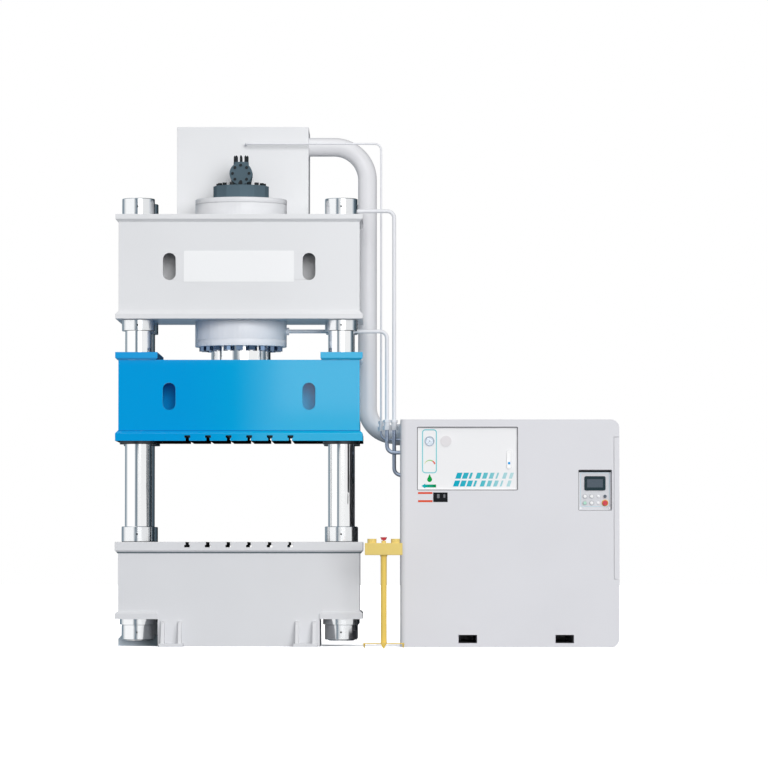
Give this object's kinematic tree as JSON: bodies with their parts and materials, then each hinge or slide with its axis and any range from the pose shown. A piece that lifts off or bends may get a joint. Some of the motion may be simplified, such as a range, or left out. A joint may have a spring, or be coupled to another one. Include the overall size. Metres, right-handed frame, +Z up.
{
  "type": "hydraulic press",
  "caption": "Four-column hydraulic press with a T-slotted bed and slide, a power unit cabinet joined by pipes, and a two-hand control pedestal.",
  "frame": {"origin": "on the floor, under the middle of the press between its four columns", "axes": "+Z up, the front faces -Y, the power unit stands on the +X side"},
  "size_m": [4.4085, 2.626, 4.638],
  "materials": {
    "grey_paint": "satin light grey paint on welded steel",
    "blue_paint": "satin blue paint on welded steel",
    "dark_paint": "satin slate paint",
    "yellow_paint": "satin yellow paint",
    "cabinet_paint": "satin light grey powder coat",
    "machined_steel": "turned and ground steel",
    "dark_steel": "oiled dark steel",
    "column_chrome": "hard chrome, ground",
    "bronze": "machined bearing bronze",
    "seal_rubber": "moulded seal rubber",
    "white_panel": "smooth white panel",
    "white_plastic": "gloss white plastic",
    "green_plastic": "gloss green plastic",
    "black_plastic": "matt black plastic",
    "screen_plastic": "dark bezel and glass",
    "red_plastic": "gloss red plastic",
    "needle_paint": "matt dark needle",
    "cast_grey": "painted casting"
  },
  "bodies": {
    "press_frame": {"bed_frame": "grey_paint", "bed_table": "grey_paint", "side_foot": "dark_paint", "column_left_front": "column_chrome", "column_left_rear": "column_chrome", "column_right_front": "column_chrome", "column_right_rear": "column_chrome", "column_nuts": "machined_steel", "bed_washers": "dark_steel", "crown": "grey_paint", "main_cylinder": "grey_paint", "cylinder_nut": "grey_paint", "cylinder_gland": "grey_paint", "ram_packing": "seal_rubber", "gland_bolts": "dark_steel", "prefill_valve": "dark_paint", "prefill_bolts": "dark_steel", "prefill_tank": "grey_paint", "tank_bracket": "grey_paint", "suction_pipe": "grey_paint", "pilot_pipe": "grey_paint", "lift_pipe": "grey_paint", "press_pipe": "grey_paint", "pipe_unions": "machined_steel", "cabinet_base": "cabinet_paint", "cabinet_front": "cabinet_paint", "cabinet_right_side": "cabinet_paint", "cabinet_cover": "cabinet_paint", "cabinet_back": "cabinet_paint", "display_panel": "white_panel", "pressure_gauge": "white_plastic", "round_cover": "white_panel", "level_gauge": "white_plastic", "control_box": "white_panel", "control_screen": "screen_plastic", "indicator_lamps": "white_plastic", "oil_reservoir": "grey_paint", "valve_manifold": "cast_grey", "pump_motor": "cast_grey", "oil_pump": "cast_grey", "pedestal_stand": "yellow_paint", "pedestal_box": "yellow_paint", "palm_guards": "yellow_paint"},
    "slide": {"slide_frame": "blue_paint", "slide_platen": "blue_paint", "guide_bushes": "bronze", "bush_retainers": "dark_steel", "piston_rod": "column_chrome"},
    "side_door": {"side_door": "cabinet_paint"},
    "gauge_needle": {"gauge_needle": "needle_paint"},
    "push_button_1": {"push_button_1": "white_plastic"},
    "push_button_2": {"push_button_2": "green_plastic"},
    "push_button_3": {"push_button_3": "white_plastic"},
    "push_button_4": {"push_button_4": "white_plastic"},
    "selector_switch": {"selector_switch": "black_plastic"},
    "control_estop": {"control_estop": "red_plastic"},
    "drive_coupling": {"drive_coupling": "dark_steel"},
    "palm_button_left": {"palm_button_left": "black_plastic"},
    "palm_button_right": {"palm_button_right": "black_plastic"},
    "pedestal_estop": {"pedestal_estop": "red_plastic"}
  },
  "joints": [
    {"name": "slide_stroke", "type": "slide", "parent": "press_frame", "child": "slide", "axis": [0, 0, -1], "range_m": [0, 0.7]},
    {"name": "side_door_hinge", "type": "hinge", "parent": "press_frame", "child": "side_door", "pos_m": [3.3185, -0.0985, 1.207], "axis": [0, 0, 1], "range_deg": [0, 110]},
    {"name": "gauge_needle_turn", "type": "hinge", "parent": "press_frame", "child": "gauge_needle", "pos_m": [1.6635, -0.7795, 1.787], "axis": [0, 1, 0], "range_deg": [0, 270], "stiffness_Nm_per_rad": 0.002},
    {"name": "push_button_1_press", "type": "slide", "parent": "press_frame", "child": "push_button_1", "axis": [0, 1, 0], "range_m": [0, 0.004], "stiffness_N_per_m": 500, "springref_m": -0.002},
    {"name": "push_button_2_press", "type": "slide", "parent": "press_frame", "child": "push_button_2", "axis": [0, 1, 0], "range_m": [0, 0.004], "stiffness_N_per_m": 500, "springref_m": -0.002},
    {"name": "push_button_3_press", "type": "slide", "parent": "press_frame", "child": "push_button_3", "axis": [0, 1, 0], "range_m": [0, 0.004], "stiffness_N_per_m": 500, "springref_m": -0.002},
    {"name": "push_button_4_press", "type": "slide", "parent": "press_frame", "child": "push_button_4", "axis": [0, 1, 0], "range_m": [0, 0.004], "stiffness_N_per_m": 500, "springref_m": -0.002},
    {"name": "selector_turn", "type": "hinge", "parent": "press_frame", "child": "selector_switch", "pos_m": [3.187, -0.751, 1.309], "axis": [0, 1, 0], "range_deg": [-45, 45]},
    {"name": "control_estop_press", "type": "slide", "parent": "press_frame", "child": "control_estop", "axis": [0, 1, 0], "range_m": [0, 0.006]},
    {"name": "coupling_spin", "type": "hinge", "parent": "press_frame", "child": "drive_coupling", "pos_m": [1.955, 0.12, 1.028], "axis": [1, 0, 0], "continuous": true},
    {"name": "palm_left_press", "type": "slide", "parent": "press_frame", "child": "palm_button_left", "axis": [0, 0, -1], "range_m": [0, 0.008], "stiffness_N_per_m": 700, "springref_m": -0.008},
    {"name": "palm_right_press", "type": "slide", "parent": "press_frame", "child": "palm_button_right", "axis": [0, 0, -1], "range_m": [0, 0.008], "stiffness_N_per_m": 700, "springref_m": -0.008},
    {"name": "pedestal_estop_press", "type": "slide", "parent": "press_frame", "child": "pedestal_estop", "axis": [0, 0, -1], "range_m": [0, 0.005]}
  ]
}
